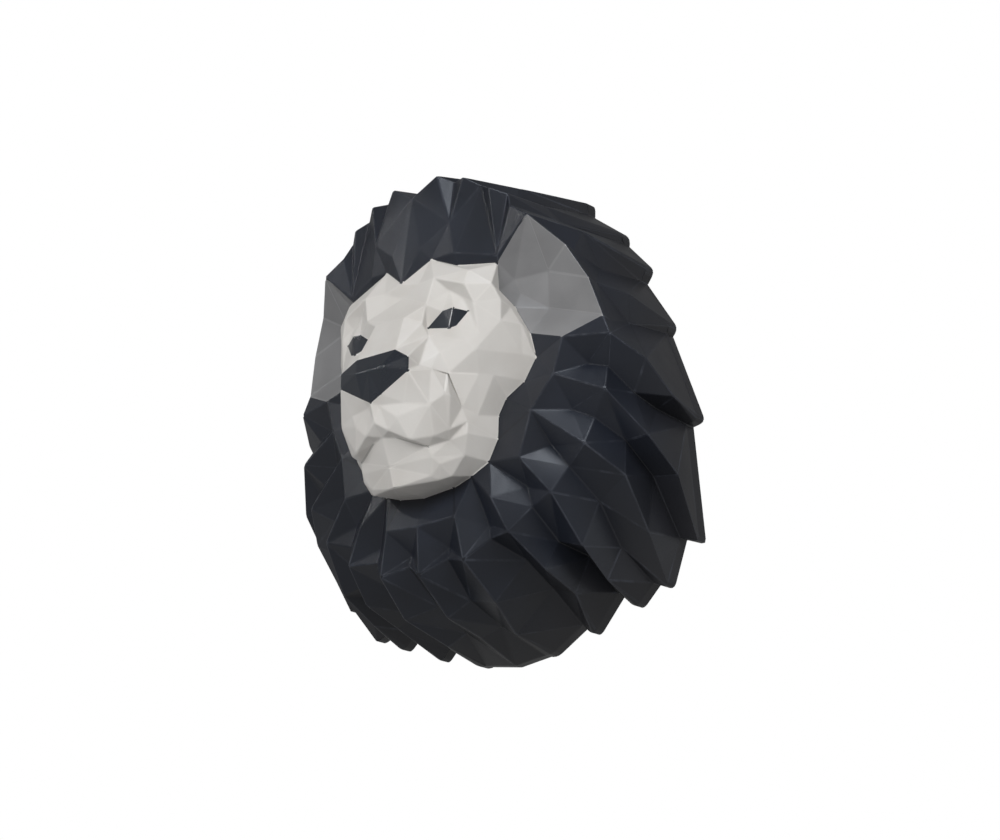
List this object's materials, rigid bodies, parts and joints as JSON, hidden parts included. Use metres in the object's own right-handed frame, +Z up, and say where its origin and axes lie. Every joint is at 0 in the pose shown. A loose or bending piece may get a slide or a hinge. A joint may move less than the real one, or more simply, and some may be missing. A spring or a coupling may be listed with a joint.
{
  "type": "lion head wall mask",
  "caption": "Faceted lion head with mane, ears and chin tuft, cast in one piece with a flat back, made to hang on a wall.",
  "frame": {"origin": "hanging point in the middle of the flat back, in the plane of the wall", "axes": "+Z up, +Y into the wall, -Y the way the lion looks, +X towards the lion's left"},
  "size_m": [0.3466, 0.174, 0.3642],
  "materials": {
    "mane_paint": "satin charcoal paint on cast resin, with an off-white face, grey ears and a glossy dark nose and eyes"
  },
  "bodies": {
    "root": {"lion_head": "mane_paint"}
  },
  "joints": []
}
